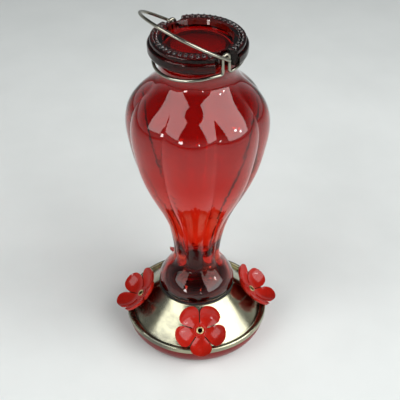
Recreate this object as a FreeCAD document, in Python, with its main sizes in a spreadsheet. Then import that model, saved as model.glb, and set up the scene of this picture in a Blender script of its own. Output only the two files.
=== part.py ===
import FreeCAD, Part
import math
import os
import Sketcher
from FreeCAD import Placement, Rotation, Vector

# Hummingbird feeder: a fluted glass bottle stands mouth down in a shallow nectar bowl with a
# domed steel cover and four flower ports, and hangs by a wire bail.
# Origin: centre of the bowl's foot. +Z up, ports on the X and Y axes. Millimetres and degrees.

DIMENSIONS = [
    # Nectar bowl
    ("bowl_curve", 18.0, "radius of the bowl's rounded side"),
    ("bowl_foot_width", 4.1, "width of the foot ring"),
    ("bowl_foot_recess", 0.5, "how far the floor is raised inside the foot ring"),
    ("bowl_wall", 2.0, "wall and floor thickness of the bowl"),
    ("lip_wall", 1.2, "thickness of the lip that the cover sits over"),
    # Threaded socket
    ("socket_wall", 2.1, "wall of the socket and of the stem under it"),
    ("stem_margin", 0.5, "stem's bore outside the bottle's bore, as a radius"),
    ("outlet_width", 9.0, "width of a nectar outlet at the foot of the stem"),
    ("outlet_height", 6.0, "height of a nectar outlet"),
    ("outlets", 4, "number of nectar outlets"),
    # Steel cover
    ("rim_radius", 60.0, "outer radius of the rolled rim"),
    ("rim_drop", 1.0, "skirt's lower edge above the bowl's rounded side"),
    ("rim_height", 4.4, "skirt's lower edge to the top of the rolled rim"),
    ("bead_radius", 1.5, "outer radius of the rolled rim's section"),
    ("sheet", 0.6, "thickness of the steel"),
    ("trough_inset", 5.1, "rim's outside to the foot of the cone"),
    ("trough_rise", 1.8, "skirt's lower edge to the bottom of the trough"),
    ("cone_height", 25.6, "bottom of the trough to the flat ring round the mouth hole"),
    ("cone_margin", 0.5, "flat ring's edge outside the washer"),
    ("hole_margin", 0.6, "mouth hole's edge outside the socket's bore"),
    ("top_bend", 2.0, "bend between the flat ring and the cone"),
    ("trough_bend", 1.0, "bends of the trough"),
    # Seals
    ("washer_thickness", 1.0, "rubber washer under the collar"),
    ("washer_margin", 0.9, "washer's edge outside the collar's foot"),
    ("seal_thickness", 1.6, "rubber ring under the bottle's mouth"),
    # Clearances
    ("seat_gap", 0.3, "gap left where one piece rests on another"),
    ("press_gap", 0.09, "gap left between faces that are pressed together"),
    ("lip_gap", 0.6, "bowl's lip to the inside of the rolled rim"),
    # Bottle's mouth and thread
    ("mouth_radius", 18.0, "outer radius of the glass mouth"),
    ("mouth_bore", 14.5, "inner radius of the glass mouth"),
    ("mouth_length", 12.6, "collar's foot to the mouth's rim"),
    ("mouth_root", 1.7, "how far the mouth's ring runs on inside the collar's foot"),
    ("thread_pitch", 4.0, "pitch of the right-hand thread"),
    ("thread_turns", 1.25, "turns of each ridge"),
    ("thread_depth", 1.5, "height of the glass ridge"),
    ("thread_base", 2.0, "width of a ridge at its base"),
    ("thread_crest", 0.9, "width of a ridge at its crest"),
    ("thread_clearance", 0.4, "radial clearance between ridges and walls"),
    ("thread_start", 2.0, "mouth's rim to the middle of the glass ridge's first turn"),
    # Bottle's stations: rise above the one below, crest radius and flute depth
    ("collar_foot_radius", 30.0, "collar where it meets the washer"),
    ("collar_low_rise", 2.2, ""),
    ("collar_low_radius", 31.1, ""),
    ("collar_rise", 3.2, ""),
    ("collar_radius", 31.2, "widest part of the plain bell collar"),
    ("bell_rise", 8.0, ""),
    ("bell_radius", 27.9, ""),
    ("bell_top_rise", 7.2, ""),
    ("bell_top_radius", 23.0, ""),
    ("bell_top_flute", 0.35, "flutes run out on the bell"),
    ("flute_foot_rise", 6.0, ""),
    ("flute_foot_radius", 19.7, ""),
    ("flute_foot_flute", 1.2, ""),
    ("waist_rise", 6.4, ""),
    ("waist_radius", 18.8, "narrowest part"),
    ("waist_flute", 1.7, ""),
    ("taper1_rise", 10.5, ""),
    ("taper1_radius", 19.7, ""),
    ("taper1_flute", 1.9, ""),
    ("taper2_rise", 15.0, ""),
    ("taper2_radius", 22.5, ""),
    ("taper2_flute", 2.1, ""),
    ("taper3_rise", 18.0, ""),
    ("taper3_radius", 28.4, ""),
    ("taper3_flute", 2.3, ""),
    ("taper4_rise", 21.0, ""),
    ("taper4_radius", 38.3, ""),
    ("taper4_flute", 2.6, ""),
    ("taper5_rise", 24.0, ""),
    ("taper5_radius", 47.7, ""),
    ("taper5_flute", 2.9, ""),
    ("belly_low_rise", 21.0, ""),
    ("belly_low_radius", 52.4, ""),
    ("belly_low_flute", 2.9, ""),
    ("belly_rise", 16.0, ""),
    ("belly_radius", 54.4, "widest part"),
    ("belly_flute", 2.9, ""),
    ("shoulder1_rise", 14.0, ""),
    ("shoulder1_radius", 52.4, ""),
    ("shoulder1_flute", 2.6, ""),
    ("shoulder2_rise", 12.0, ""),
    ("shoulder2_radius", 44.8, ""),
    ("shoulder2_flute", 1.9, ""),
    ("shoulder3_rise", 9.0, ""),
    ("shoulder3_radius", 35.3, ""),
    ("shoulder3_flute", 0.9, ""),
    ("neck_foot_rise", 8.5, ""),
    ("neck_foot_radius", 29.5, ""),
    ("neck_rise", 7.0, ""),
    ("neck_radius", 28.7, "plain neck under the disc"),
    ("neck_top_rise", 10.5, ""),
    ("flutes", 8, "number of flutes"),
    ("flute_phase", 12.0, "azimuth of the first crease"),
    ("glass", 2.6, "glass at the creases"),
    ("glass_foot", 3.4, "glass over the collar's foot"),
    ("hollow_foot_inset", 6.8, "collar's foot radius to the hollow's radius over it"),
    ("crown_inset", 3.9, "neck's radius to the hollow's radius under the disc"),
    ("crown_top_inset", 9.1, "neck's radius to the hollow's radius at its domed top"),
    # Bottle's disc
    ("neck_in_disc", 1.4, "how far the neck runs up into the disc"),
    ("disc_thickness", 12.3, "underside to the flat of the top face"),
    ("disc_overhang", 7.6, "neck's radius to the disc's widest radius, on the lower roll"),
    ("disc_roll", 3.4, "radius of the lower roll's section"),
    ("disc_roll_height", 8.8, "top of the lower roll above the underside"),
    ("disc_step", 1.9, "how far the upper step stands back"),
    ("disc_edge", 1.1, "rounding of the top face's edge"),
    ("recess_margin", 2.8, "recess to the inner ends of the beads"),
    ("recess_depth", 3.6, "depth of the recessed centre"),
    ("recess_slope", 1.1, "how far the recess's wall leans in"),
    ("beads", 46, "glass beads if they ran all the way round"),
    ("bead_margin", 1.8, "outer ends of the beads to the upper step"),
    ("bead_length", 4.2, "length of a bead"),
    ("bead_width", 2.9, "width of a bead"),
    ("bead_rise", 1.2, "how far a bead stands proud"),
    ("notch_radius", 11.0, "radius of the two round notches in the disc's edge"),
    ("tail_room", 1.5, "bail's tail to the back of its notch"),
    # Wire
    ("hinge_azimuth", -57.5, "direction of the bail's hinge line"),
    ("wire", 2.4, "wire diameter"),
    ("eye_room", 3.7, "neck to the middle of an eye"),
    ("eye_spacing", 5.6, "between the centres of an eye's two legs"),
    ("eye_top_drop", 0.4, "disc's top face down to the top of an eye's centre line"),
    ("ring_slack", 1.6, "disc's underside to the ring at the eyes, where the ring hangs loose"),
    ("eye_foot_bend", 2.2, "bend between ring and eye"),
    ("bail_bend", 2.0, "bends of the bail's ends"),
    ("bail_room", 2.9, "between an eye and the bail's leg beside it"),
    ("bail_rise", 9.5, "hinge line to the foot of the bail's half-round arch"),
    ("bail_lean", 57.5, "lean of the bail from upright, where its tails meet the notches"),
    # Flowers and ports
    ("petal_rim_gap", 0.7, "lowest petal to the rolled rim, which sets how high a port stands"),
    ("port_upright", 6.45, "how much more upright a port's axis stands than square to the cone"),
    ("flowers", 4, "number of ports"),
    ("petals", 5, "petals of a flower"),
    ("petal_reach", 21.3, "flower's axis to the tip of a petal"),
    ("petal_tip_curve", 11.4, "radius of a petal's broad tip"),
    ("petal_corner", 5.7, "radius of a petal's corners"),
    ("petal_slit", 0.9, "slit between two petals"),
    ("petal_thickness", 1.3, ""),
    ("petal_cup", 18.0, "radius of a petal's hollow"),
    ("petal_cup_centre", 6.0, "flower's axis to the lowest point of the hollow"),
    ("petal_lift", 1.4, "petals' lowest point above the steel"),
    ("flower_foot_width", 1.65, "eyelet to the edge of the foot that stands on the steel"),
    ("flower_disc_width", 4.05, "eyelet to the edge of the disc that the petals grow from"),
    ("flower_disc_height", 2.9, "top of that disc above the steel"),
    ("flower_boss_width", 2.75, "eyelet to the outside of the raised ring round the port"),
    ("flower_boss_rise", 0.5, "how far that ring stands above the disc"),
    ("eyelet_bore", 1.95, "radius of the feeding hole"),
    ("eyelet_wall", 0.4, "wall of the brass eyelet"),
    ("eyelet_flange", 0.7, "width of the eyelet's flange"),
    ("eyelet_flange_height", 0.5, ""),
    ("eyelet_clearance", 0.1, "radial clearance round the eyelet"),
    ("port_clearance", 0.4, "radial clearance round the eyelet in the steel"),
    ("clinch_width", 0.95, "width of the eyelet's clinched end"),
    ("backing_width", 2.15, "eyelet to the edge of the backing washer"),
    ("backing_thickness", 0.8, ""),
]

SHEET = "dims"
FULL_TURN = 360
FUSE_DEPTH = 0.3    # how far a ridge's section reaches into the wall that carries it, of its height
HALF = 0.5

doc = FreeCAD.newDocument("hummingbird_feeder")
sheet = doc.addObject("Spreadsheet::Sheet", SHEET)
for row, (alias, value, meaning) in enumerate(DIMENSIONS, start=1):
    sheet.set("A%d" % row, alias)
    sheet.set("B%d" % row, str(value))
    sheet.setAlias("B%d" % row, alias)
    sheet.set("C%d" % row, meaning)
doc.recompute()


class Size:
    """A number that remembers the sheet formula it comes from."""

    def __init__(self, value, text):
        self.value = float(value)
        self.text = text

    def __add__(self, other):
        other = as_size(other)
        return Size(self.value + other.value, "(%s + %s)" % (self.text, other.text))

    def __sub__(self, other):
        other = as_size(other)
        return Size(self.value - other.value, "(%s - %s)" % (self.text, other.text))

    def __mul__(self, other):
        other = as_size(other)
        return Size(self.value * other.value, "(%s * %s)" % (self.text, other.text))

    def __truediv__(self, other):
        other = as_size(other)
        return Size(self.value / other.value, "(%s / %s)" % (self.text, other.text))

    def __neg__(self):
        return Size(-self.value, "(-1 * %s)" % self.text)

    def __radd__(self, other):
        return as_size(other) + self

    def __rsub__(self, other):
        return as_size(other) - self

    def __rmul__(self, other):
        return as_size(other) * self

    def __rtruediv__(self, other):
        return as_size(other) / self


def as_size(number):
    return number if isinstance(number, Size) else Size(number, repr(float(number)))


def dim(alias):
    return Size(sheet.get(alias), "%s.%s" % (SHEET, alias))


def sine(angle):
    return Size(math.sin(math.radians(angle.value)), "sin(%s)" % angle.text)


def cosine(angle):
    return Size(math.cos(math.radians(angle.value)), "cos(%s)" % angle.text)


def tangent(angle):
    return Size(math.tan(math.radians(angle.value)), "tan(%s)" % angle.text)


def root(number):
    return Size(math.sqrt(number.value), "sqrt(%s)" % number.text)


# Feature helpers

def new_body(label):
    body = doc.addObject("PartDesign::Body", label)
    body.Label = label
    return body


def origin_part(body, role):
    return [item for item in body.Origin.OriginFeatures if item.Role == role][0]


def bind(item, path, amount):
    """Ties a property, or a named constraint, to its sheet formula."""
    item.setExpression(path, as_size(amount).text)


def new_sketch(body, name, role="XZ_Plane", height=None):
    sketch = body.newObject("Sketcher::SketchObject", name)
    sketch.AttachmentSupport = [(origin_part(body, role), "")]
    sketch.MapMode = "FlatFace"
    if height is not None:
        bind(sketch, "AttachmentOffset.Base.z", height)
    return sketch


def distance(name, kind, edge, end, amount):
    """A constraint that holds one end of an edge at a signed distance from the sketch's origin."""
    if abs(amount.value) < 1e-9:
        axis_line = -2 if kind == "DistanceX" else -1
        return (None, Sketcher.Constraint("PointOnObject", edge, end, axis_line), None)
    if amount.value > 0:
        return (name, Sketcher.Constraint(kind, -1, 1, edge, end, amount.value), amount)
    amount = -amount
    return (name, Sketcher.Constraint(kind, edge, end, -1, 1, amount.value), amount)


def fix(sketch, limits):
    """Adds (name, constraint, amount) items and ties each named one to its sheet formula."""
    indices = sketch.addConstraint([limit for _, limit, _ in limits])
    for index, (name, _, amount) in zip(indices, limits):
        if name:
            sketch.renameConstraint(index, name)
            bind(sketch, "Constraints." + name, amount)


def arc_between(start, end, radius, turn):
    """The short arc of a radius from start to end, anticlockwise for turn 1 and clockwise for -1."""
    half = (end - start) * 0.5
    rise = math.sqrt(max(radius ** 2 - half.Length ** 2, 0.0))
    across = Vector(-half.y, half.x, 0).normalize()
    centre = start + half + across * (rise * turn)
    first, last = (start, end) if turn > 0 else (end, start)
    circle = Part.Circle(centre, Vector(0, 0, 1), radius)
    angle_first = math.atan2(first.y - centre.y, first.x - centre.x)
    angle_last = math.atan2(last.y - centre.y, last.x - centre.x)
    if angle_last < angle_first:
        angle_last += 2 * math.pi
    return Part.ArcOfCircle(circle, angle_first, angle_last)


def draw(sketch, points, closed=True):
    """Draws a chain. A point is (x, y), or (x, y, radius, turn) where an arc arrives at it."""
    corners = [[as_size(number) for number in point] for point in points]
    spots = [Vector(corner[0].value, corner[1].value, 0) for corner in corners]
    count = len(points)
    pairs = [(index, (index + 1) % count) for index in range(count if closed else count - 1)]
    chain = []
    limits = []
    for index, following in pairs:
        target = corners[following]
        if len(target) == 2:
            edge = sketch.addGeometry(Part.LineSegment(spots[index], spots[following]), False)
            start, end = 1, 2
        else:
            radius, turn = target[2], int(target[3].value)
            arc = arc_between(spots[index], spots[following], radius.value, turn)
            edge = sketch.addGeometry(arc, False)
            start, end = (1, 2) if turn > 0 else (2, 1)
            limits.append(("radius%d" % index, Sketcher.Constraint("Radius", edge, radius.value), radius))
        chain.append((edge, start, end))
        limits.append(distance("x%d" % index, "DistanceX", edge, start, corners[index][0]))
        limits.append(distance("y%d" % index, "DistanceY", edge, start, corners[index][1]))
    joints = list(zip(chain, chain[1:]))
    if closed:
        joints.append((chain[-1], chain[0]))
    else:
        edge, _, end = chain[-1]
        limits.append(distance("x_end", "DistanceX", edge, end, corners[-1][0]))
        limits.append(distance("y_end", "DistanceY", edge, end, corners[-1][1]))
    for (edge, _, end), (following, start, _) in joints:
        limits.append((None, Sketcher.Constraint("Coincident", edge, end, following, start), None))
    fix(sketch, limits)
    return sketch


def draw_circle(sketch, radius, centre=(0, 0), name="radius"):
    x, y = [as_size(number) for number in centre]
    radius = as_size(radius)
    circle = Part.Circle(Vector(x.value, y.value, 0), Vector(0, 0, 1), radius.value)
    edge = sketch.addGeometry(circle, False)
    fix(sketch, [distance(name + "_x", "DistanceX", edge, 3, x),
                 distance(name + "_y", "DistanceY", edge, 3, y),
                 (name, Sketcher.Constraint("Radius", edge, radius.value), radius)])
    return sketch


def turn_sketch(body, kind, sketch):
    feature = body.newObject("PartDesign::" + kind, kind.lower())
    feature.Profile = sketch
    feature.ReferenceAxis = (sketch, ["V_Axis"])
    feature.Angle = FULL_TURN
    return feature


def extrude(body, kind, sketch, length, upwards=True):
    """Pads upwards or pockets upwards by a length from the sketch's plane."""
    feature = body.newObject("PartDesign::" + kind, kind.lower())
    feature.Profile = sketch
    bind(feature, "Length", length)
    feature.Reversed = (kind == "Pocket") == upwards
    return feature


def pattern(body, feature, count, whole=False):
    ring = body.newObject("PartDesign::PolarPattern", "polar_pattern")
    if whole:
        ring.TransformMode = "Whole shape"
    else:
        ring.Originals = [feature]
    ring.Axis = (origin_part(body, "Z_Axis"), [""])
    ring.Angle = FULL_TURN
    bind(ring, "Occurrences", count)
    body.Tip = ring
    return ring


def ring_edges(feature, spots):
    """Names of the round edges whose radius and height are given."""
    names = []
    for radius, height in spots:
        for index, edge in enumerate(feature.Shape.Edges, start=1):
            curve = edge.Curve
            if not isinstance(curve, Part.Circle):
                continue
            same_radius = abs(curve.Radius - as_size(radius).value) < 1e-3
            if same_radius and abs(curve.Center.z - as_size(height).value) < 1e-3:
                names.append("Edge%d" % index)
    return names


def round_edges(body, feature, spots, radius):
    doc.recompute()
    fillet = body.newObject("PartDesign::Fillet", "fillet")
    fillet.Base = (feature, ring_edges(feature, spots))
    bind(fillet, "Radius", radius)
    return fillet


def disc_with_hole(label, outer, inner, bottom, thickness):
    body = new_body(label)
    sketch = new_sketch(body, label + "_rings", "XY_Plane", bottom)
    draw_circle(sketch, outer, name="outer")
    draw_circle(sketch, inner, name="inner")
    extrude(body, "Pad", sketch, thickness)
    return body


def helical_ridge(body, name, wall, crest, height):
    """A thread ridge whose section stands on a wall and narrows to its crest."""
    into_wall = dim("thread_depth") * (FUSE_DEPTH if wall.value > crest.value else -FUSE_DEPTH)
    half_base = dim("thread_base") * HALF
    half_crest = dim("thread_crest") * HALF
    section = new_sketch(body, name)
    draw(section, [(wall + into_wall, height - half_base),
                   (wall, height - half_base),
                   (crest, height - half_crest),
                   (crest, height + half_crest),
                   (wall, height + half_base),
                   (wall + into_wall, height + half_base)])
    ridge = body.newObject("PartDesign::AdditiveHelix", name + "_helix")
    ridge.Profile = section
    ridge.ReferenceAxis = (section, ["V_Axis"])
    ridge.Mode = "pitch-turns-angle"
    bind(ridge, "Pitch", dim("thread_pitch"))
    bind(ridge, "Turns", dim("thread_turns"))
    return ridge


# Sizes that several pieces share: the base's radii and heights, from the bowl up
lip_outer = dim("rim_radius") - dim("sheet") - dim("seat_gap")
lip_inner = lip_outer - dim("lip_wall")
bowl_foot = lip_outer - dim("bowl_curve")
bowl_floor = dim("bowl_wall")
rim_bottom = dim("bowl_curve") + dim("rim_drop")
rim_top = rim_bottom + dim("rim_height")
bead_centre = rim_top - dim("bead_radius")
lip_top = rim_top - dim("sheet") - dim("lip_gap")
trough_radius = dim("rim_radius") - dim("trough_inset")
trough_bottom = rim_bottom + dim("trough_rise")
cover_top = trough_bottom + dim("cone_height")
sheet_under = cover_top - dim("sheet")

# The seals, the socket and the bottle's mouth
stem_bore = dim("mouth_bore") + dim("stem_margin")
socket_bore = dim("mouth_radius") + dim("thread_depth") + dim("thread_clearance")
socket_ridge = dim("mouth_radius") + dim("thread_clearance")
socket_top = sheet_under - dim("seat_gap")
washer_radius = dim("collar_foot_radius") + dim("washer_margin")
washer_bottom = cover_top + dim("press_gap")
cover_top_radius = washer_radius + dim("cone_margin")
collar_foot = washer_bottom + dim("washer_thickness") + dim("press_gap")
mouth_rim = collar_foot - dim("mouth_length")
seal_top = mouth_rim - dim("seat_gap") + dim("press_gap")
seal_bottom = seal_top - dim("seal_thickness")
ledge_top = seal_bottom - dim("press_gap")

# The ports, which stand on the cone
cone_fall = (cover_top - trough_bottom) / (trough_radius - cover_top_radius)
cone_angle = math.degrees(math.atan(cone_fall.value))
port_lean = cone_angle - dim("port_upright").value


def port_up_cone():
    """How far up the cone from its foot a port stands, for its lowest petal to clear the rim.

    In the port's own frame the petal's back is a circle, and so is the rim's section. The port
    moves up the cone until the two circles are the gap apart.
    """
    lean, upright = math.radians(port_lean), math.radians(dim("port_upright").value)
    out = (dim("trough_inset") - dim("bead_radius")).value
    up = (bead_centre - trough_bottom).value
    petal_back = (dim("petal_cup") + dim("petal_thickness")).value
    x = out * math.cos(lean) - up * math.sin(lean) - dim("petal_cup_centre").value
    z = out * math.sin(lean) + up * math.cos(lean) - dim("petal_lift").value - petal_back
    apart = petal_back + (dim("bead_radius") + dim("petal_rim_gap")).value
    middle = x * math.cos(upright) - z * math.sin(upright)
    return math.sqrt(middle ** 2 - x ** 2 - z ** 2 + apart ** 2) - middle


eyelet_barrel = dim("eyelet_bore") + dim("eyelet_wall")
HOLE_REACH = 8.0    # length of the port hole's cutter each side of the steel


def above_cone(radius):
    """The least height on a port's axis at which a disc of this radius is clear of the cone."""
    return radius * tangent(dim("port_upright")) + dim("press_gap")


def port_foot(azimuth):
    """The point of the cone's outer face where a port's axis meets it."""
    slope = math.radians(cone_angle)
    distance = trough_radius.value - port_up_cone() * math.cos(slope)
    height = trough_bottom.value + port_up_cone() * math.sin(slope)
    return Rotation(Vector(0, 0, 1), azimuth).multVec(Vector(distance, 0, height))


def port_placement(azimuth):
    """Local +Z runs out along the port's axis and local +X down the cone."""
    around = Rotation(Vector(0, 0, 1), azimuth)
    lean = Rotation(Vector(0, 1, 0), port_lean)
    return Placement(port_foot(azimuth), around.multiply(lean))


# Nectar bowl: one red plastic moulding, a round dish on a low foot ring

def make_bowl():
    body = new_body("nectar_bowl")
    inner_curve = dim("bowl_curve") - dim("bowl_wall")
    foot_inner = bowl_foot - dim("bowl_foot_width")
    recess = dim("bowl_foot_recess")
    lip_foot = dim("bowl_curve") + dim("rim_drop")
    outline = new_sketch(body, "bowl_section")
    draw(outline, [(0, recess),
                   (foot_inner, recess),
                   (foot_inner, 0),
                   (bowl_foot, 0),
                   (lip_outer, dim("bowl_curve"), dim("bowl_curve"), 1),
                   (lip_outer, lip_top),
                   (lip_inner, lip_top),
                   (lip_inner, lip_foot),
                   (bowl_foot + inner_curve, dim("bowl_curve")),
                   (bowl_foot, bowl_floor, inner_curve, -1),
                   (0, bowl_floor)])
    turn_sketch(body, "Revolution", outline)
    return body


# Socket: a second red moulding, welded by its foot to the bowl's floor; the bottle screws into it

def make_socket():
    body = new_body("threaded_socket")
    wall = dim("socket_wall")
    stem_outer = stem_bore + wall
    socket_outer = socket_bore + wall
    ledge_under = ledge_top - wall
    outline = new_sketch(body, "socket_section")
    draw(outline, [(stem_bore, bowl_floor),
                   (stem_outer, bowl_floor),
                   (stem_outer, ledge_under),
                   (socket_outer, ledge_under + wall),
                   (socket_outer, socket_top),
                   (socket_bore, socket_top),
                   (socket_bore, ledge_top),
                   (stem_bore, ledge_top)])
    turn_sketch(body, "Revolution", outline)
    outlet = new_sketch(body, "outlet", "XY_Plane", bowl_floor)
    half = dim("outlet_width") * HALF
    draw(outlet, [(stem_bore * HALF, -half),
                  (stem_outer + wall, -half),
                  (stem_outer + wall, half),
                  (stem_bore * HALF, half)])
    pattern(body, extrude(body, "Pocket", outlet, dim("outlet_height")), dim("outlets"))
    ridge_height = mouth_rim + dim("thread_start") + dim("thread_pitch") * HALF
    helical_ridge(body, "socket_ridge", socket_bore, socket_ridge, ridge_height)
    return body


# Steel cover: one spun sheet with a mouth hole, a cone, a trough and a rolled rim

def make_cover():
    body = new_body("base_cover")
    sheet_t = dim("sheet")
    top, top_r = cover_top, cover_top_radius
    low, low_r = trough_bottom, trough_radius
    hole_r = socket_bore + dim("hole_margin")
    slope_length = root((top - low) * (top - low) + (low_r - top_r) * (low_r - top_r))
    # Half-angle tangent of the bends, for the mitre between the sheet's two faces
    half_tangent = (top - low) / (slope_length + low_r - top_r)
    mitre = sheet_t * half_tangent
    wall_r = dim("rim_radius") - dim("bead_radius") * 2
    bead_inner = dim("bead_radius") - sheet_t
    bead_middle = dim("rim_radius") - dim("bead_radius")
    outline = new_sketch(body, "cover_section")
    draw(outline, [(hole_r, top),
                   (top_r, top),
                   (low_r, low),
                   (wall_r, low),
                   (wall_r, bead_centre),
                   (bead_middle, rim_top, dim("bead_radius"), -1),
                   (dim("rim_radius"), bead_centre, dim("bead_radius"), -1),
                   (dim("rim_radius"), rim_bottom),
                   (dim("rim_radius") - sheet_t, rim_bottom),
                   (dim("rim_radius") - sheet_t, bead_centre),
                   (bead_middle, bead_centre + bead_inner, bead_inner, 1),
                   (wall_r + sheet_t, bead_centre, bead_inner, 1),
                   (wall_r + sheet_t, low - sheet_t),
                   (low_r - mitre, low - sheet_t),
                   (top_r - mitre, top - sheet_t),
                   (hole_r, top - sheet_t)])
    spun = turn_sketch(body, "Revolution", outline)
    under = low - sheet_t
    outer_bends = round_edges(body, spun, [(top_r, top), (low_r - mitre, under)], dim("top_bend"))
    inner_bend = dim("top_bend") - sheet_t
    inner_spots = [(top_r - mitre, top - sheet_t), (low_r, low)]
    bent = round_edges(body, outer_bends, inner_spots, inner_bend)
    round_edges(body, bent, [(wall_r + sheet_t, under)], dim("trough_bend"))
    hole = body.newObject("PartDesign::SubtractiveCylinder", "port_hole")
    bind(hole, "Radius", eyelet_barrel + dim("port_clearance"))
    hole.Height = HOLE_REACH * 2
    tilt = Rotation(Vector(0, 1, 0), port_lean)
    hole.Placement = Placement(port_foot(0) - tilt.multVec(Vector(0, 0, HOLE_REACH)), tilt)
    doc.recompute()
    pattern(body, hole, dim("flowers"))
    return body


# Bottle: one red glass blowing with a bell collar, ten flutes, a neck and a beaded disc

PLAIN_COLLAR_STATIONS = ("collar_low", "collar", "bell")
NOTCHES = 2
FLUTED_STATIONS = ("bell_top", "flute_foot", "waist", "taper1", "taper2", "taper3", "taper4",
                   "taper5", "belly_low", "belly", "shoulder1", "shoulder2", "shoulder3")
PLAIN_NECK_STATIONS = ("neck_foot", "neck")


def bottle_stations():
    """Height, crest radius and flute depth from the collar's foot to the neck's top."""
    none = Size(0, "0")
    height = collar_foot
    stations = [(height, dim("collar_foot_radius"), none)]
    for name in PLAIN_COLLAR_STATIONS + FLUTED_STATIONS + PLAIN_NECK_STATIONS:
        height = height + dim(name + "_rise")
        flute = dim(name + "_flute") if name in FLUTED_STATIONS else none
        stations.append((height, dim(name + "_radius"), flute))
    stations.append((height + dim("neck_top_rise"), dim("neck_radius"), none))
    return stations


def draw_lobes(sketch, crest, flute):
    """A ring of equal arcs that meet in creases."""
    count = int(dim("flutes").value)
    half_step = FULL_TURN * HALF / dim("flutes")
    crease = crest - flute
    chord_half = crease * sine(half_step)
    sagitta = crest - crease * cosine(half_step)
    radius = (chord_half * chord_half + sagitta * sagitta) / (sagitta * 2)
    points = []
    for index in range(count):
        angle = dim("flute_phase") + half_step * (2 * index)
        points.append((crease * cosine(angle), crease * sine(angle), radius, 1))
    return draw(sketch, points)


stations = bottle_stations()
disc_under = stations[-1][0] - dim("neck_in_disc")
disc_top = disc_under + dim("disc_thickness")
disc_radius = dim("neck_radius") + dim("disc_overhang")
eye_distance = dim("neck_radius") + dim("eye_room")
tail_distance = eye_distance - dim("wire") - dim("seat_gap")
half_wire = dim("wire") * HALF
notch_centre = tail_distance - half_wire - dim("tail_room") + dim("notch_radius")


def make_bottle():
    body = new_body("bottle")
    sections = []
    for index, (height, crest, flute) in enumerate(stations):
        section = new_sketch(body, "station%d" % index, "XY_Plane", height)
        sections.append(draw_lobes(section, crest, flute))
    form = body.newObject("PartDesign::AdditiveLoft", "fluted_form")
    form.Profile = sections[0]
    form.Sections = sections[1:]

    disc = new_sketch(body, "disc_section")
    roll_low = disc_under + dim("disc_roll")
    roll_top = disc_under + dim("disc_roll_height")
    step = dim("disc_step")
    step_radius = disc_radius - step
    edge = dim("disc_edge")
    bead_outer = step_radius - dim("bead_margin")
    bead_inner = bead_outer - dim("bead_length")
    recess_radius = bead_inner - dim("recess_margin")
    draw(disc, [(0, disc_under),
                (disc_radius - dim("disc_roll"), disc_under),
                (disc_radius, roll_low, dim("disc_roll"), 1),
                (disc_radius, roll_top - step),
                (step_radius, roll_top, step, 1),
                (step_radius, disc_top - edge),
                (step_radius - edge, disc_top, edge, 1),
                (recess_radius, disc_top),
                (recess_radius - dim("recess_slope"), disc_top - dim("recess_depth")),
                (0, disc_top - dim("recess_depth"))])
    turn_sketch(body, "Revolution", disc)

    mouth = new_sketch(body, "mouth_ring", "XY_Plane", mouth_rim)
    draw_circle(mouth, dim("mouth_radius"))
    extrude(body, "Pad", mouth, dim("mouth_length") + dim("mouth_root"))

    bead = new_sketch(body, "bead_section")
    bead_half = dim("bead_width") * HALF
    bead_axis = disc_top + dim("bead_rise") - bead_half
    draw(bead, [(bead_inner, bead_axis, bead_half, 1),
                (bead_outer, bead_axis),
                (bead_outer - bead_half, bead_axis + bead_half, bead_half, 1),
                (bead_inner + bead_half, bead_axis + bead_half)])
    axis_line = Part.LineSegment(Vector(0, bead_axis.value, 0), Vector(1, bead_axis.value, 0))
    line = bead.addGeometry(axis_line, True)
    fix(bead, [(None, Sketcher.Constraint("Horizontal", line), None),
               distance("axis_y", "DistanceY", line, 1, bead_axis)])
    bead_turn = body.newObject("PartDesign::Revolution", "bead")
    bead_turn.Profile = bead
    bead_turn.ReferenceAxis = (bead, ["Axis0"])
    bead_turn.Angle = FULL_TURN
    pattern(body, bead_turn, dim("beads"))

    notch = new_sketch(body, "notch", "XY_Plane", disc_under)
    notch.AttachmentOffset = Placement(Vector(0, 0, disc_under.value),
                                       Rotation(Vector(0, 0, 1), dim("hinge_azimuth").value))
    draw_circle(notch, dim("notch_radius"), (notch_centre, 0))
    cut = extrude(body, "Pocket", notch, dim("disc_thickness") + dim("bead_rise") * 2)
    pattern(body, cut, NOTCHES)

    hollow_foot = collar_foot + dim("glass_foot")
    hollow = [(hollow_foot, dim("collar_foot_radius") - dim("hollow_foot_inset"))]
    for height, crest, flute in stations[2:-1]:
        hollow.append((height, crest - flute - dim("glass")))
    hollow.append((disc_under - dim("glass"), dim("neck_radius") - dim("crown_inset")))
    hollow.append((disc_under + dim("glass"), dim("neck_radius") - dim("crown_top_inset")))
    cavity = []
    for index, (height, radius) in enumerate(hollow):
        ring = new_sketch(body, "hollow%d" % index, "XY_Plane", height)
        cavity.append(draw_circle(ring, radius))
    inside = body.newObject("PartDesign::SubtractiveLoft", "inside")
    inside.Profile = cavity[0]
    inside.Sections = cavity[1:]

    bore = new_sketch(body, "mouth_bore", "XY_Plane", mouth_rim)
    draw_circle(bore, dim("mouth_bore"))
    extrude(body, "Pocket", bore, dim("mouth_length") + dim("glass_foot") + dim("mouth_root"))
    ridge_crest = dim("mouth_radius") + dim("thread_depth")
    ridge_height = mouth_rim + dim("thread_start")
    helical_ridge(body, "glass_ridge", dim("mouth_radius"), ridge_crest, ridge_height)
    return body


# Wire: a ring round the neck with two upright eyes, and a bail whose tails hang in the notches

ring_centre = disc_under - dim("ring_slack") - half_wire
eye_top = disc_top - dim("eye_top_drop")
hinge_height = eye_top - dim("wire") - dim("seat_gap")


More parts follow.
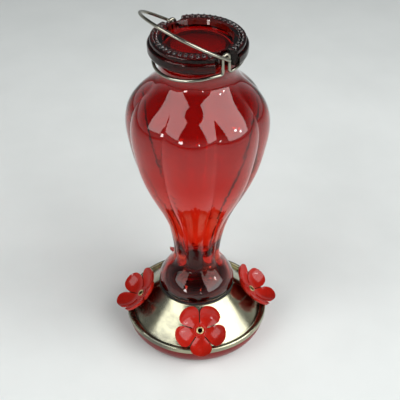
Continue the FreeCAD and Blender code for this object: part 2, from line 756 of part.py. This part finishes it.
def make_hanger_ring():
    """A ring that rises into an inverted U at each notch: a bent wire, so a swept path.

    It hangs by its eyes and swings a little about them, until its far side meets the disc.
    """
    ring_height = ring_centre.value
    leg = dim("eye_spacing").value * HALF
    bend = dim("eye_foot_bend").value
    distance_out = eye_distance.value
    ring_radius = math.sqrt(distance_out ** 2 + leg ** 2 - bend ** 2)
    leg_angle = math.atan2(leg, distance_out)
    foot_angle = leg_angle + math.atan2(bend, ring_radius)
    azimuth = math.radians(dim("hinge_azimuth").value)
    up = Vector(0, 0, 1)

    def on_ring(angle):
        return Vector(ring_radius * math.cos(angle), ring_radius * math.sin(angle), ring_height)

    def foot_arc(base_azimuth, side):
        """From the ring to the foot of the eye's leg on one side."""
        angle = base_azimuth + side * foot_angle
        start = on_ring(angle)
        along = Vector(math.sin(angle), -math.cos(angle), 0) * side
        middle = start + up * bend + (along - up) * (bend * math.sqrt(HALF))
        return start, middle, start + (along + up) * bend

    edges = []
    for base_azimuth in (azimuth, azimuth + math.pi):
        start, middle, leg_foot = foot_arc(base_azimuth, -1)
        far_start, far_middle, far_leg_foot = foot_arc(base_azimuth, 1)
        straight_top = eye_top.value - leg
        near_top = Vector(leg_foot.x, leg_foot.y, straight_top)
        far_top = Vector(far_leg_foot.x, far_leg_foot.y, straight_top)
        crown = (near_top + far_top) * HALF + up * leg
        edges.append(Part.Arc(start, middle, leg_foot).toShape())
        edges.append(Part.makeLine(leg_foot, near_top))
        edges.append(Part.Arc(near_top, crown, far_top).toShape())
        edges.append(Part.makeLine(far_top, far_leg_foot))
        edges.append(Part.Arc(far_leg_foot, far_middle, far_start).toShape())
        quarter = on_ring(base_azimuth + math.pi / 2)
        edges.append(Part.Arc(far_start, quarter, on_ring(base_azimuth + math.pi - foot_angle)).toShape())
    path = Part.Wire(edges)
    first = edges[0]
    start = first.valueAt(first.FirstParameter)
    direction = first.tangentAt(first.FirstParameter)
    section = Part.Wire([Part.makeCircle(half_wire.value, start, direction)])
    ring = doc.addObject("Part::Feature", "hanger_ring")
    ring.Label = "hanger_ring"
    ring.Shape = path.makePipeShell([section], True, True)
    swing = math.asin((dim("ring_slack") - dim("seat_gap")).value / ring_radius)
    hinge_line = Vector(math.cos(azimuth), math.sin(azimuth), 0)
    pivot = Vector(0, 0, hinge_height.value)
    ring.Placement = Placement(Vector(0, 0, 0), Rotation(hinge_line, math.degrees(swing)), pivot)
    return ring


def make_bail():
    """Drawn in its own plane: X along the hinge line and Z towards the top of the arch."""
    body = new_body("bail")
    bend = dim("bail_bend")
    leg_x = eye_distance + dim("wire") + dim("bail_room")
    tail_x = tail_distance
    lean = dim("bail_lean")
    wall = dim("notch_radius") - half_wire - dim("seat_gap")
    inset = notch_centre - tail_x
    tail = root(wall * wall - inset * inset) / sine(lean)
    shoulder = dim("bail_rise")
    path = new_sketch(body, "bail_path")
    draw(path, [(-tail_x, -tail),
                (-tail_x, -bend),
                (-tail_x - bend, 0, bend, 1),
                (-leg_x + bend, 0),
                (-leg_x, bend, bend, -1),
                (-leg_x, shoulder),
                (0, shoulder + leg_x, leg_x, -1),
                (leg_x, shoulder, leg_x, -1),
                (leg_x, bend),
                (leg_x - bend, 0, bend, -1),
                (tail_x + bend, 0),
                (tail_x, -bend, bend, 1),
                (tail_x, -tail)], closed=False)
    section = new_sketch(body, "wire_section", "XY_Plane", -tail)
    draw_circle(section, half_wire, (-tail_x, 0))
    pipe = body.newObject("PartDesign::AdditivePipe", "bent_wire")
    pipe.Profile = section
    pipe.Spine = (path, [])
    around = Rotation(Vector(0, 0, 1), dim("hinge_azimuth").value)
    back = Rotation(Vector(1, 0, 0), lean.value)
    body.Placement = Placement(Vector(0, 0, hinge_height.value), around.multiply(back))
    bind(body, "Placement.Base.z", hinge_height)
    return body


# Flowers: red moulded blossoms, each fixed by a brass eyelet clinched on a backing washer

def petal_outline():
    """Half wedge, corner arc and tip arc of one petal that points along +X."""
    half_angle = FULL_TURN * HALF / dim("petals")
    s, c = sine(half_angle), cosine(half_angle)
    corner, tip = dim("petal_corner"), dim("petal_tip_curve")
    tip_x = dim("petal_reach") - tip
    offset = corner + dim("petal_slit") * HALF
    # The corner's centre lies the corner's radius inside the wedge's side and inside the tip's arc
    slope = s / c
    drop = offset / c
    inside = tip - corner
    quad = slope * slope + 1
    linear = tip_x + slope * drop
    constant = tip_x * tip_x + drop * drop - inside * inside
    corner_x = (linear + root(linear * linear - quad * constant)) / quad
    corner_y = slope * corner_x - drop
    side_x = corner_x - corner * s
    side_y = corner_y + corner * c
    end_x = tip_x + (corner_x - tip_x) * tip / inside
    end_y = corner_y * tip / inside
    apex = dim("petal_slit") * HALF / s
    return [(apex, 0),
            (side_x, -side_y),
            (end_x, -end_y, corner, 1),
            (end_x, end_y, tip, 1),
            (side_x, side_y, corner, 1)]


def make_flower(label, azimuth):
    """One hollowed petal, patterned whole, then the disc, boss and foot round the port."""
    body = new_body(label)
    lift, cup, thick = dim("petal_lift"), dim("petal_cup"), dim("petal_thickness")
    cup_x = dim("petal_cup_centre")
    outline = new_sketch(body, "petal_outline", "XY_Plane", lift)
    draw(outline, petal_outline())
    extrude(body, "Pad", outline, cup)

    hollow = body.newObject("PartDesign::SubtractiveSphere", "petal_hollow")
    bind(hollow, "Radius", cup)
    bind(hollow, "Placement.Base.x", cup_x)
    bind(hollow, "Placement.Base.z", lift + thick + cup)

    back = new_sketch(body, "petal_back")
    outer = cup + thick
    reach = dim("petal_reach") - cup_x + dim("petal_slit")
    rise = outer - root(outer * outer - reach * reach)
    draw(back, [(cup_x, lift, outer, -1),
                (cup_x + reach, lift),
                (cup_x + reach, lift + rise)])
    axis_line = Part.LineSegment(Vector(cup_x.value, 0, 0), Vector(cup_x.value, lift.value, 0))
    axis = back.addGeometry(axis_line, True)
    fix(back, [(None, Sketcher.Constraint("Vertical", axis), None),
               distance("axis_x", "DistanceX", axis, 1, cup_x)])
    groove = body.newObject("PartDesign::Groove", "petal_back_cut")
    groove.Profile = back
    groove.ReferenceAxis = (back, ["Axis0"])
    groove.Angle = FULL_TURN
    doc.recompute()
    pattern(body, groove, dim("petals"), whole=True)

    middle = new_sketch(body, "middle_section")
    foot_r = eyelet_barrel + dim("flower_foot_width")
    disc_r = eyelet_barrel + dim("flower_disc_width")
    boss_r = eyelet_barrel + dim("flower_boss_width")
    disc_z = dim("flower_disc_height")
    boss_rise = dim("flower_boss_rise")
    draw(middle, [(0, above_cone(foot_r)),
                  (foot_r, above_cone(foot_r)),
                  (foot_r, lift - dim("seat_gap")),
                  (disc_r, lift + dim("seat_gap")),
                  (disc_r, disc_z),
                  (boss_r, disc_z),
                  (boss_r - boss_rise, disc_z + boss_rise, boss_rise, 1),
                  (0, disc_z + boss_rise)])
    turn_sketch(body, "Revolution", middle)
    bore = new_sketch(body, "bore", "XY_Plane")
    draw_circle(bore, eyelet_barrel + dim("eyelet_clearance"))
    extrude(body, "Pocket", bore, (disc_z + boss_rise) * 2)
    body.Placement = port_placement(azimuth)
    return body


def make_eyelet(label, azimuth):
    """Flange, barrel and clinched end of one drawn brass tube."""
    body = new_body(label)
    bore, barrel = dim("eyelet_bore"), eyelet_barrel
    flange = barrel + dim("eyelet_flange")
    clinch = barrel + dim("clinch_width")
    flange_low = dim("flower_disc_height") + dim("flower_boss_rise") + dim("press_gap")
    flange_top = flange_low + dim("eyelet_flange_height")
    half = dim("eyelet_flange_height") * HALF
    clinch_top = backing_top() - dim("backing_thickness") - dim("press_gap")
    section = new_sketch(body, "eyelet_section")
    draw(section, [(bore, clinch_top - half * 2),
                   (clinch - half, clinch_top - half * 2),
                   (clinch, clinch_top - half, half, 1),
                   (clinch - half, clinch_top, half, 1),
                   (barrel, clinch_top),
                   (barrel, flange_low),
                   (flange - half, flange_low),
                   (flange, flange_low + half, half, 1),
                   (flange - half, flange_top, half, 1),
                   (bore + half, flange_top),
                   (bore, flange_top - half, half, 1)])
    turn_sketch(body, "Revolution", section)
    body.Placement = port_placement(azimuth)
    return body


def backing_top():
    """Height on the port's axis, under the steel, at which the washer's high side is just clear."""
    steel_under = dim("sheet") / cosine(dim("port_upright"))
    return -(steel_under + above_cone(eyelet_barrel + dim("backing_width")))


def make_backing(label, azimuth):
    hole = eyelet_barrel + dim("eyelet_clearance")
    outer = eyelet_barrel + dim("backing_width")
    bottom = backing_top() - dim("backing_thickness")
    body = disc_with_hole(label, outer, hole, bottom, dim("backing_thickness"))
    body.Placement = port_placement(azimuth)
    return body


# Build, check and write every piece

pieces = [make_bowl(), make_socket(), make_cover(), make_bottle(), make_hanger_ring(), make_bail()]
pieces.append(disc_with_hole("collar_washer", washer_radius, socket_bore, washer_bottom,
                             dim("washer_thickness")))
pieces.append(disc_with_hole("mouth_seal", socket_bore - dim("seat_gap"), dim("mouth_bore"),
                             seal_bottom, dim("seal_thickness")))
SIDES = ("front", "right", "back", "left")
FRONT_AZIMUTH = -90
port_count = int(dim("flowers").value)
for number in range(port_count):
    side = SIDES[number] if port_count == len(SIDES) else str(number + 1)
    azimuth = FRONT_AZIMUTH + number * FULL_TURN / port_count
    pieces.append(make_flower("flower_" + side, azimuth))
    pieces.append(make_eyelet("eyelet_" + side, azimuth))
    pieces.append(make_backing("backing_washer_" + side, azimuth))

doc.recompute()
for item in doc.Objects:
    if "Invalid" in item.State or "Error" in item.State:
        raise RuntimeError("%s failed: %s" % (item.Label, item.State))
for piece in pieces:
    if piece.Shape.isNull() or not piece.Shape.isValid():
        raise RuntimeError("%s has no valid shape" % piece.Label)

os.makedirs("parts", exist_ok=True)
for piece in pieces:
    piece.Shape.exportStep(os.path.join("parts", piece.Label + ".step"))
    print("%-22s solids %d  volume %9.1f mm3" % (piece.Label, len(piece.Shape.Solids), piece.Shape.Volume))
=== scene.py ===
import math
import bmesh
import bpy
from mathutils import Matrix, Vector
from mathutils.bvhtree import BVHTree


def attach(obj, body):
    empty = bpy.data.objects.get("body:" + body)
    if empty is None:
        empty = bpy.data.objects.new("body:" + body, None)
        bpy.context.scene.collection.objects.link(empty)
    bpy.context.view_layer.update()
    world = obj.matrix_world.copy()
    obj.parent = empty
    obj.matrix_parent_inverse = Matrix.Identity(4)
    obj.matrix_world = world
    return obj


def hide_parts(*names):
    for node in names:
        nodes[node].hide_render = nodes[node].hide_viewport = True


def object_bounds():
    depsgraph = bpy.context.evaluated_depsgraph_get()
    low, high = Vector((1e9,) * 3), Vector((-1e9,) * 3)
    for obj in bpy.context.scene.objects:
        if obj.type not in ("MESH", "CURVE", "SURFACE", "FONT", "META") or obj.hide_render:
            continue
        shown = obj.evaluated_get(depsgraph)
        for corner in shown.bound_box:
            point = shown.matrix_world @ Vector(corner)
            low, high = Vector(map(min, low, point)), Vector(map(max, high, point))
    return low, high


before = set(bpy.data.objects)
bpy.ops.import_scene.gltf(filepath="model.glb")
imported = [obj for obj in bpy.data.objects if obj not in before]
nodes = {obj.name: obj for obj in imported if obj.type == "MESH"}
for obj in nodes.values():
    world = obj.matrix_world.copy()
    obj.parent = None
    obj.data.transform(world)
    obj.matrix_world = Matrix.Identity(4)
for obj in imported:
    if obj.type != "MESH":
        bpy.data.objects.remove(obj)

cad_low, cad_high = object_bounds()


# The viewpoint: the feeder is seen from the front and well above, about 0.84 m away.
# The long lens keeps it narrow, and the picture is turned by half a degree.
camera_place = Vector((-0.03898, -0.59199, 0.58992))
camera_aim = Vector((0.0552, 0.7899, -0.6108))
camera_roll = math.radians(0.487)
camera_data = bpy.data.cameras.new("photo_camera")
camera_data.sensor_width = 36.0
camera_data.lens = 84.62
camera_data.clip_start = 0.05
camera_data.clip_end = 40.0
camera = bpy.data.objects.new("photo_camera", camera_data)
bpy.context.scene.collection.objects.link(camera)
camera.location = camera_place
camera.rotation_mode = "QUATERNION"
camera.rotation_quaternion = (camera_aim.to_track_quat("-Z", "Y").to_matrix()
                              @ Matrix.Rotation(camera_roll, 3, "Z")).to_quaternion()
bpy.context.scene.camera = camera
bpy.context.scene.view_settings.view_transform = "Standard"


# The floor: a plain pale matt surface on which the feeder stands. It reaches far past the
# picture, and its colour is darkened away from the feeder as painted shade, so that glass and steel mirror
# it as in a room.
class Tone:
    """A number or colour on its way through a material's nodes, worked on as in a sum."""

    def __init__(self, tree, socket=None):
        self.tree = tree
        self.socket = socket

    def node(self, kind, settings=None, inputs=None, output=0):
        made = self.tree.nodes.new(kind)
        for name, value in (settings or {}).items():
            setattr(made, name, value)
        for name, value in (inputs or {}).items():
            if isinstance(value, Tone):
                self.tree.links.new(value.socket, made.inputs[name])
            else:
                made.inputs[name].default_value = value
        return Tone(self.tree, made.outputs[output])

    def sum(self, operation, *values):
        return self.node("ShaderNodeMath", {"operation": operation}, dict(enumerate(values)))

    def __add__(self, other):
        return self.sum("ADD", self, other)

    def __mul__(self, other):
        return self.sum("MULTIPLY", self, other)

    __radd__ = __add__
    __rmul__ = __mul__

    def part(self, axis):
        return self.node("ShaderNodeSeparateXYZ", {}, {0: self}, "XYZ".index(axis))

    def from_axis(self):
        """How far a place is from the upright axis through the feeder."""
        x, y = self.part("X"), self.part("Y")
        return x.sum("SQRT", x * x + y * y)

    def noise(self, scale, detail=2.0, stretch=(1, 1, 1)):
        place = self.node("ShaderNodeVectorMath", {"operation": "MULTIPLY"}, {0: self, 1: stretch})
        return place.node("ShaderNodeTexNoise", {}, {"Vector": place, "Scale": scale, "Detail": detail})

    def between(self, low, high, new_low=0.0, new_high=1.0):
        return self.node("ShaderNodeMapRange", {}, {"Value": self, "From Min": low, "From Max": high,
                                                    "To Min": new_low, "To Max": new_high})

    def drawn_out(self, new_low=0.0, new_high=1.0):
        """A noise, which seldom leaves 0.3 to 0.7, drawn out to a whole range."""
        return self.between(0.3, 0.7, new_low, new_high)

    def mix(self, first, second):
        """First where this is 0, second where it is 1."""
        return self.node("ShaderNodeMix", {"data_type": "RGBA"}, {0: self, 6: first, 7: second}, 2)


def finish(name, build, **constants):
    """A material whose surface shader's own sockets take the constants; build links what varies."""
    material = bpy.data.materials.new(name)
    material.use_nodes = True
    tree = material.node_tree
    surface = tree.nodes["Principled BSDF"]
    for socket, value in constants.items():
        surface.inputs[socket.replace("_", " ")].default_value = value
    place = Tone(tree).node("ShaderNodeTexCoord", output="Object")
    for socket, tone in build(place).items():
        tree.links.new(tone.socket, surface.inputs[socket])
    return material


def bumped(height, strength, depth):
    return height.node("ShaderNodeBump", {}, {"Strength": strength, "Distance": depth, "Height": height})


floor_width = 16.0
floor_shade = (0.71, 0.74, 0.725, 1)
floor_pale = (0.75, 0.78, 0.765, 1)
floor_far_painted_shade = (0.44, 0.465, 0.46, 1)


def floor_tones(place):
    mottle = place.noise(14.0, 5.0)
    weave = place.noise(1400.0, 2.0)
    near = mottle.drawn_out().mix(floor_shade, floor_pale)
    away = place.node("ShaderNodeVectorMath", {"operation": "LENGTH"}, {0: place}, "Value")
    # Painted shade: the floor's colour darkens between 0.38 m and 1.2 m from the feeder.
    return {"Base Color": away.between(0.38, 1.2).mix(near, floor_far_painted_shade),
            "Roughness": mottle.drawn_out(0.75, 0.9),
            "Normal": bumped(weave, strength=0.15, depth=0.0004)}


bpy.ops.object.select_all(action="DESELECT")
bpy.ops.mesh.primitive_plane_add(size=floor_width, location=(0, 0, cad_low.z))
table = bpy.context.object
table.name = "table_top"
table.data.materials.append(finish("pale_table", floor_tones, Specular_IOR_Level=0.2))


# The studio: a tall soft window at the left and a wider one at the right, which glass and steel
# mirror, and small lamps that glint in them. A weak fill over the camera isn't mirrored at all.
feeder_middle = Vector((0, 0, 0.15))


def soft_light(name, azimuth, elevation, distance, width, height, radiance, mirrored=True):
    """A soft light in the given direction from the feeder's middle, facing it."""
    light = bpy.data.lights.new(name, "AREA")
    light.shape = "RECTANGLE"
    light.size = width
    light.size_y = height
    light.energy = radiance * math.pi * width * height
    lamp = bpy.data.objects.new(name, light)
    bpy.context.scene.collection.objects.link(lamp)
    a, e = math.radians(azimuth), math.radians(elevation)
    out = Vector((math.cos(e) * math.cos(a), math.cos(e) * math.sin(a), math.sin(e)))
    lamp.location = feeder_middle + out * distance
    lamp.rotation_mode = "QUATERNION"
    lamp.rotation_quaternion = out.to_track_quat("Z", "Y")
    lamp.visible_glossy = mirrored


soft_light("left_window", -151, 36, distance=2.2, width=1.45, height=1.9, radiance=3.2)
soft_light("right_window", -33, 34, distance=2.2, width=2.5, height=2.4, radiance=3.6)
soft_light("left_lamp", -36, 24, distance=2.1, width=0.14, height=0.14, radiance=36.0)
soft_light("right_lamp", -24, 16, distance=2.1, width=0.14, height=0.14, radiance=36.0)
soft_light("low_lamp", -126, 10, distance=2.0, width=0.30, height=0.24, radiance=16.0)
soft_light("front_lamp", -81, 7, distance=2.0, width=0.12, height=0.14, radiance=16.0)
soft_light("front_fill", -94, 55, distance=1.75, width=1.8, height=1.8, radiance=0.5, mirrored=False)


# The room: dim above and a little lighter behind the feeder, and brighter low down, as walls
# are that stand round a pale floor. Its light is slightly blue.
world = bpy.data.worlds.new("dim_room")
world.use_nodes = True
direction = Tone(world.node_tree).node("ShaderNodeTexCoord", output="Generated")
lowness = direction.part("Z").between(0.02, 0.42, 1.0, 0.14)
behind = direction.part("Y").between(-0.5, 0.5, 0.55, 0.62)
background = world.node_tree.nodes["Background"]
background.inputs["Color"].default_value = (0.94, 0.97, 1.0, 1)
world.node_tree.links.new((lowness * behind).socket, background.inputs["Strength"])
bpy.context.scene.world = world


# The nectar bowl and the threaded socket: moulded from tinted red plastic and welded together,
# the socket standing on the bowl's floor. Washing has dulled their skin and left it cloudy.
bowl_red = (0.13, 0.005, 0.005, 1)
bowl_pale_red = (0.17, 0.008, 0.007, 1)


def bowl_tones(place):
    cloud = place.noise(60.0, 4.0)
    grain = place.noise(1800.0, 2.0)
    return {"Base Color": cloud.drawn_out().mix(bowl_red, bowl_pale_red),
            "Roughness": (cloud * 0.5 + grain * 0.5).between(0.35, 0.65, 0.26, 0.42),
            "Normal": bumped(grain, strength=0.15, depth=0.0001)}


def dress(names, material):
    """The solids themselves are shown, with this material in their one slot."""
    for name in names:
        slots = nodes[name].data.materials
        slots.clear()
        slots.append(material)


dress(["nectar_bowl", "threaded_socket"], finish("bowl_plastic", bowl_tones, Specular_IOR_Level=0.25))


# The mouth seal and the collar washer: black rubber rings, matt and a little dusty. The seal lies
# on the socket's ledge under the bottle's mouth, and the washer between its collar and the steel.
rubber_black = (0.012, 0.012, 0.013, 1)
rubber_dust = (0.05, 0.047, 0.045, 1)


def rubber_tones(place):
    dust = place.noise(300.0, 4.0)
    return {"Base Color": dust.between(0.45, 0.8).mix(rubber_black, rubber_dust),
            "Roughness": dust.drawn_out(0.55, 0.75),
            "Normal": bumped(dust, strength=0.3, depth=0.0001)}


dress(["collar_washer", "mouth_seal"], finish("black_rubber", rubber_tones))


# The base cover: spun from one steel sheet and laid on the bowl's lip. Fine turning marks run
# round it and draw the windows out into wedges down the cone, and handling has left dull smears.
# A dark patch on the left side is partly a film of smears and partly painted shade: the left flower's shadow
# and its dark reflection.
steel_bright = (0.43, 0.415, 0.28, 1)
steel_dull = (0.32, 0.315, 0.23, 1)
steel_smear_and_painted_shade = (0.11, 0.11, 0.095, 1)


def steel_tones(place):
    marks = place.node("ShaderNodeTexNoise", {"noise_dimensions": "1D"},
                       {"W": place.from_axis(), "Scale": 3600.0, "Detail": 3.0})
    smear = place.noise(46.0, 4.0)
    tint = smear.between(0.35, 0.7).mix(steel_bright, steel_dull)
    # Painted shade, partly smears: the dark film darkens only the left side of the cone.
    left_side = place.part("X").between(-0.005, -0.03)
    left_smear_and_shade = place.noise(34.0, 5.0, (1, 1, 2)).between(0.44, 0.60) * left_side
    return {"Base Color": (left_smear_and_shade * 0.8).mix(tint, steel_smear_and_painted_shade),
            "Roughness": smear.drawn_out(0.11, 0.22) + left_smear_and_shade * 0.14,
            "Normal": bumped(marks, strength=1.0, depth=0.00004)}


dress(["base_cover"], finish("spun_steel", steel_tones, Metallic=1.0))


# The flowers: each moulded in one piece from red plastic with a semi-gloss skin, and held on the
# cover by its eyelet. Where a petal is seen edge-on, a paler red is painted on as a glow of light through
# its thin edges.
petal_deep = (0.29, 0.007, 0.003, 1)
petal_red = (0.37, 0.010, 0.004, 1)
petal_painted_glow = (0.60, 0.09, 0.07, 1)


def petal_tones(place):
    cloud = place.noise(120.0, 3.0)
    grain = place.noise(2200.0, 2.0)
    # Painted glow: petals seen edge-on are mixed towards a paler red.
    edge = place.node("ShaderNodeLayerWeight", {}, {"Blend": 0.12}, "Facing")
    return {"Base Color": (edge * 0.15).mix(cloud.drawn_out().mix(petal_deep, petal_red), petal_painted_glow),
            "Roughness": (cloud * 0.6 + grain * 0.4).between(0.35, 0.65, 0.11, 0.19),
            "Normal": bumped(grain, strength=0.12, depth=0.0001)}


dress([name for name in nodes if name.startswith("flower")],
      finish("flower_plastic", petal_tones, Specular_IOR_Level=0.34))


# The eyelets: drawn brass tubes with a rolled flange, pushed through flower and steel and
# clinched below. Their hole is the feeding port, and beaks have rubbed the flange bright.
brass_dull = (0.62, 0.46, 0.20, 1)
brass_bright = (0.80, 0.66, 0.36, 1)


def brass_tones(place):
    rub = place.noise(500.0, 3.0)
    return {"Base Color": rub.drawn_out().mix(brass_dull, brass_bright),
            "Roughness": rub.drawn_out(0.2, 0.35),
            "Normal": bumped(rub, strength=0.2, depth=0.0001)}


dress([name for name in nodes if name.startswith("eyelet")], finish("brass", brass_tones, Metallic=1.0))


# The backing washers: stamped from thin steel, left as they came off the press, and held
# under the cover's sheet by the eyelets' clinched ends.
washer_dark = (0.50, 0.49, 0.45, 1)
washer_light = (0.64, 0.62, 0.57, 1)


def washer_tones(place):
    scratch = place.noise(700.0, 3.0, (1, 1, 4))
    return {"Base Color": scratch.drawn_out().mix(washer_dark, washer_light),
            "Roughness": scratch.drawn_out(0.25, 0.42),
            "Normal": bumped(scratch, strength=0.3, depth=0.0001)}


dress([name for name in nodes if name.startswith("backing_washer")],
      finish("stamped_steel", washer_tones, Metallic=1.0))


# The bottle: one blowing of red glass, screwed mouth down into the socket. It is clear enough to
# see through both walls, and near black where light runs along it, as in the disc. The shown
# copy has an even wall behind its flutes, as blowing leaves it, and slightly taller beads.
collar_red = (0.78, 0.11, 0.09, 1)
waist_red = (0.96, 0.22, 0.13, 1)
taper_red = (0.66, 0.055, 0.022, 1)
belly_red = (0.52, 0.015, 0.005, 1)
recess_red = (0.60, 0.06, 0.04, 1)
disc_black = (0.05, 0.006, 0.006, 1)
clear_orange = (0.92, 0.4, 0.0, 1)


def glass_tones(place):
    ripple = place.noise(26.0, 1.0, (1, 1, 0.5))
    height = place.part("Z")
    taper = height.between(0.12, 0.175).mix(waist_red, taper_red)
    belly = height.between(0.18, 0.225).mix(taper, belly_red)
    body = height.between(0.066, 0.085).mix(collar_red, belly)
    disc = place.from_axis().between(0.022, 0.027).mix(recess_red, disc_black)
    shoulder = height.between(0.18, 0.22) * height.between(0.262, 0.256)
    rim = height.between(0.2772, 0.2782)
    collar = height.between(0.068, 0.060)
    return {"Base Color": height.between(0.262, 0.268).mix(body, disc),
            "Coat Weight": shoulder * 0.7 + rim + collar * 0.6,
            "Normal": bumped(ripple, strength=0.03, depth=0.002)}


red_glass = finish("red_glass", glass_tones, Transmission_Weight=1.0, IOR=1.47, Roughness=0.0,
                   Specular_Tint=(0.55, 0.48, 0.45, 1))
absorb = red_glass.node_tree.nodes.new("ShaderNodeVolumeAbsorption")
absorb.inputs["Color"].default_value = clear_orange
absorb.inputs["Density"].default_value = 220.0
surface_end = red_glass.node_tree.nodes["Material Output"]
red_glass.node_tree.links.new(absorb.outputs[0], surface_end.inputs["Volume"])

wall = 0.0027
flutes_low, flutes_high, flutes_fade = 0.085, 0.246, 0.012
disc_top, bead_growth = 0.27798, 0.3
crease, edge_angle = math.radians(11.0), math.radians(28.0)
facing_in = -0.3
skin = 1e-4
glass = bmesh.new()
glass.from_mesh(nodes["bottle"].data)
bmesh.ops.remove_doubles(glass, verts=glass.verts, dist=1e-6)
glass.normal_update()
outside = BVHTree.FromBMesh(glass)
moves = []
for vertex in glass.verts:
    outward = Vector((vertex.co.x, vertex.co.y, 0.0))
    if flutes_low < vertex.co.z < flutes_high and vertex.normal.dot(outward.normalized()) < facing_in:
        outward.normalize()
        thickness = outside.ray_cast(vertex.co + outward * skin, outward)[3] + skin
        share = min(1.0, (vertex.co.z - flutes_low) / flutes_fade, (flutes_high - vertex.co.z) / flutes_fade)
        moves.append((vertex, outward * max(0.0, thickness - wall) * share))
for vertex, move in moves:
    vertex.co += move
for vertex in glass.verts:
    vertex.co.z += max(0.0, vertex.co.z - disc_top) * bead_growth
for face in glass.faces:
    face.smooth = True
for edge in glass.edges:
    fluted = flutes_low < edge.verts[0].co.z < flutes_high
    edge.smooth = edge.calc_face_angle(0.0) < (crease if fluted else edge_angle)
glass_mesh = bpy.data.meshes.new("bottle_glass")
glass.to_mesh(glass_mesh)
glass.free()
bottle_glass = bpy.data.objects.new("bottle_glass", glass_mesh)
bpy.context.scene.collection.objects.link(bottle_glass)
bottle_glass.data.materials.append(red_glass)
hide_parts("bottle")
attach(bottle_glass, "bottle")


# The hanger ring: drawn steel wire bent round the neck, its eyes standing in the disc's notches.
# The shown copy's near half is bent down below the eyes, so it stands clear of the disc at the
# left, while its far half lies against it. Use has dulled the wire's satin skin in patches.
wire_dark = (0.27, 0.26, 0.21, 1)
wire_light = (0.38, 0.36, 0.29, 1)


def wire_tones(place):
    patch = place.noise(90.0, 3.0)
    grain = place.noise(1500.0, 2.0)
    return {"Base Color": patch.drawn_out().mix(wire_dark, wire_light),
            "Roughness": (patch * 0.5 + grain * 0.5).between(0.35, 0.65, 0.12, 0.24),
            "Normal": bumped(grain, strength=0.25, depth=0.00008)}


satin_wire = finish("satin_wire", wire_tones, Metallic=1.0)
bend_start, bend_slope, bend_soft = 0.006, 0.16, 0.004
near_side = math.radians(-150.0)
near = Vector((math.cos(near_side), math.sin(near_side), 0))
ring_mesh = nodes["hanger_ring"].data.copy()
ring_mesh.name = "hanging_ring"
for vertex in ring_mesh.vertices:
    reach = max(0.0, vertex.co.dot(near) - bend_start)
    vertex.co.z -= bend_slope * reach * reach / (reach + bend_soft)
hanging_ring = bpy.data.objects.new("hanging_ring", ring_mesh)
bpy.context.scene.collection.objects.link(hanging_ring)
hanging_ring.data.materials.clear()
hanging_ring.data.materials.append(satin_wire)
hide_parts("hanger_ring")
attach(hanging_ring, "bottle")


# The bail: the handle that the feeder hangs by, bent from the same drawn steel wire. Its two
# tails are hooked through the ring's eyes, and it swings on them.
dress(["bail"], satin_wire)
